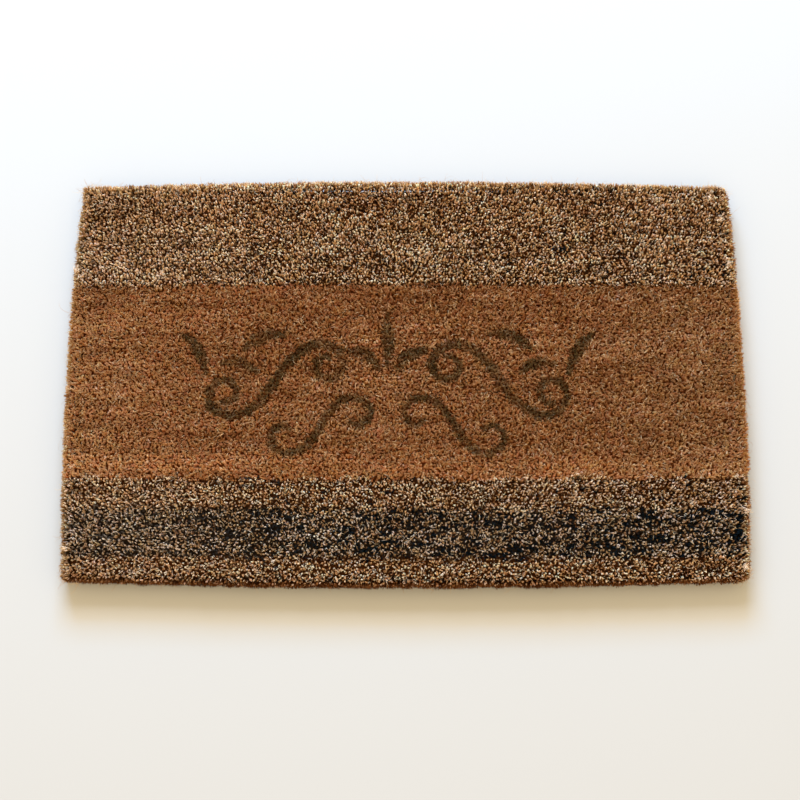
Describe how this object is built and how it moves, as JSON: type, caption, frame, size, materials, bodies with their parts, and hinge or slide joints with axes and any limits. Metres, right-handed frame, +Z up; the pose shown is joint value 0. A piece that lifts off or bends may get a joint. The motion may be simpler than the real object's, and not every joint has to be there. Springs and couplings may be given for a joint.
{
  "type": "door mat",
  "caption": "Rectangular handwoven coir door mat with a shorn pile in three bands and a stencilled scroll ornament.",
  "frame": {"origin": "middle of the underside, on the surface that the mat lies on", "axes": "+X along the long side (the weft), +Y from the front edge to the back edge (the warp), +Z up through the pile"},
  "size_m": [0.762, 0.468, 0.022],
  "materials": {
    "coir_yarn": "two-ply natural coir yarn, matt",
    "coir_cord": "thick braided natural coir cord, matt",
    "stitch_twine": "thin pale coir twine",
    "natural_pile": "shorn natural reddish-brown coir",
    "stencilled_pile": "natural coir with dark olive dye in the stencilled ornament",
    "fleck_blend_pile": "dark dyed coir blended with pale fibre, cream cut tips",
    "dark_blend_pile": "blue-black dyed coir with some pale fibre",
    "edge_blend_pile": "brown and dark coir blend with pale cut tips"
  },
  "bodies": {
    "root": {"warp_chains_odd": "coir_yarn", "warp_chains_even": "coir_yarn", "weft_picks": "coir_yarn", "left_selvedge_cord": "coir_cord", "right_selvedge_cord": "coir_cord", "front_end_braid": "coir_cord", "back_end_braid": "coir_cord", "left_selvedge_lashing": "stitch_twine", "right_selvedge_lashing": "stitch_twine", "front_braid_stitches": "stitch_twine", "back_braid_stitches": "stitch_twine", "tie_off_knots": "stitch_twine", "front_edge_tufts": "edge_blend_pile", "front_dark_tufts": "dark_blend_pile", "front_fleck_tufts": "fleck_blend_pile", "middle_front_tufts": "natural_pile", "middle_stencil_tufts": "stencilled_pile", "middle_rear_tufts": "natural_pile", "back_fleck_tufts": "fleck_blend_pile", "back_edge_tufts": "edge_blend_pile"}
  },
  "joints": []
}
